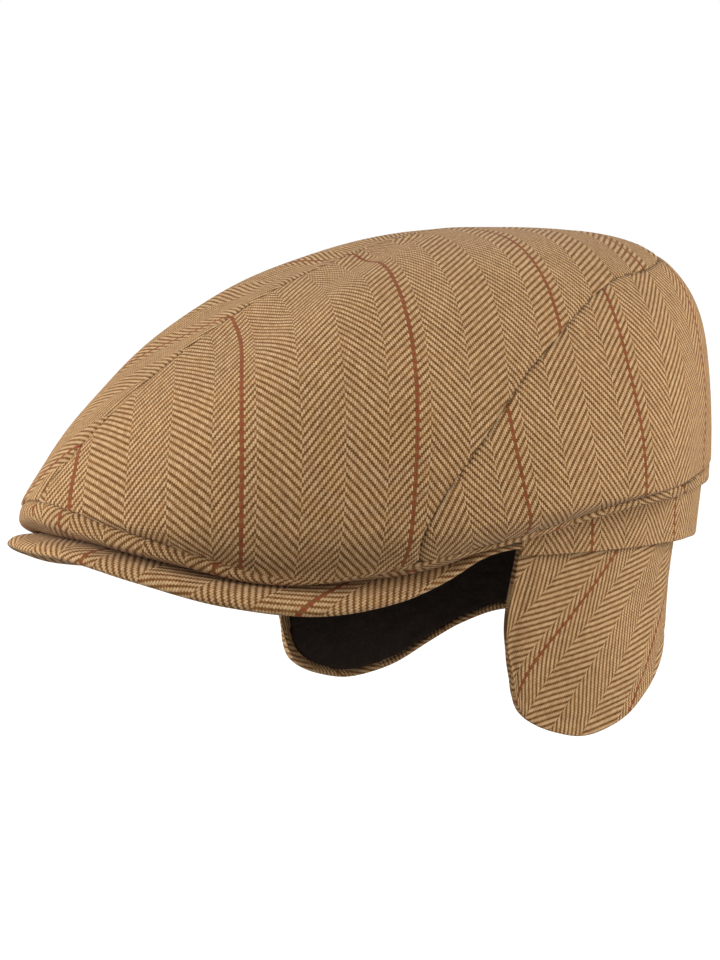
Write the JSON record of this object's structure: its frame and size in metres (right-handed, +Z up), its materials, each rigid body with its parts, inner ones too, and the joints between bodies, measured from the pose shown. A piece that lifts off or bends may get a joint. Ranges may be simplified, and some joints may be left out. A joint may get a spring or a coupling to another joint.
{
  "type": "cap with earflaps",
  "caption": "Tweed flat cap with a stiff peak and a fleece-lined strip hanging from the band as earflaps.",
  "frame": {"origin": "middle of the oval head opening, level with the lower edge of the band", "axes": "+Z up out of the wearer's head, -Y forwards over the peak, +X to the wearer's left"},
  "size_m": [0.2062, 0.2609, 0.1722],
  "materials": {
    "tweed": "woollen herringbone twill, tan and brown with thin rust lines",
    "fleece": "short, matt, near-black brown fleece"
  },
  "bodies": {
    "root": {"crown_left": "tweed", "crown_right": "tweed", "crown_back": "tweed", "crown_under_strip": "tweed", "band": "tweed", "peak": "tweed", "earflap_cover": "tweed", "earflap_lining": "fleece"}
  },
  "joints": []
}
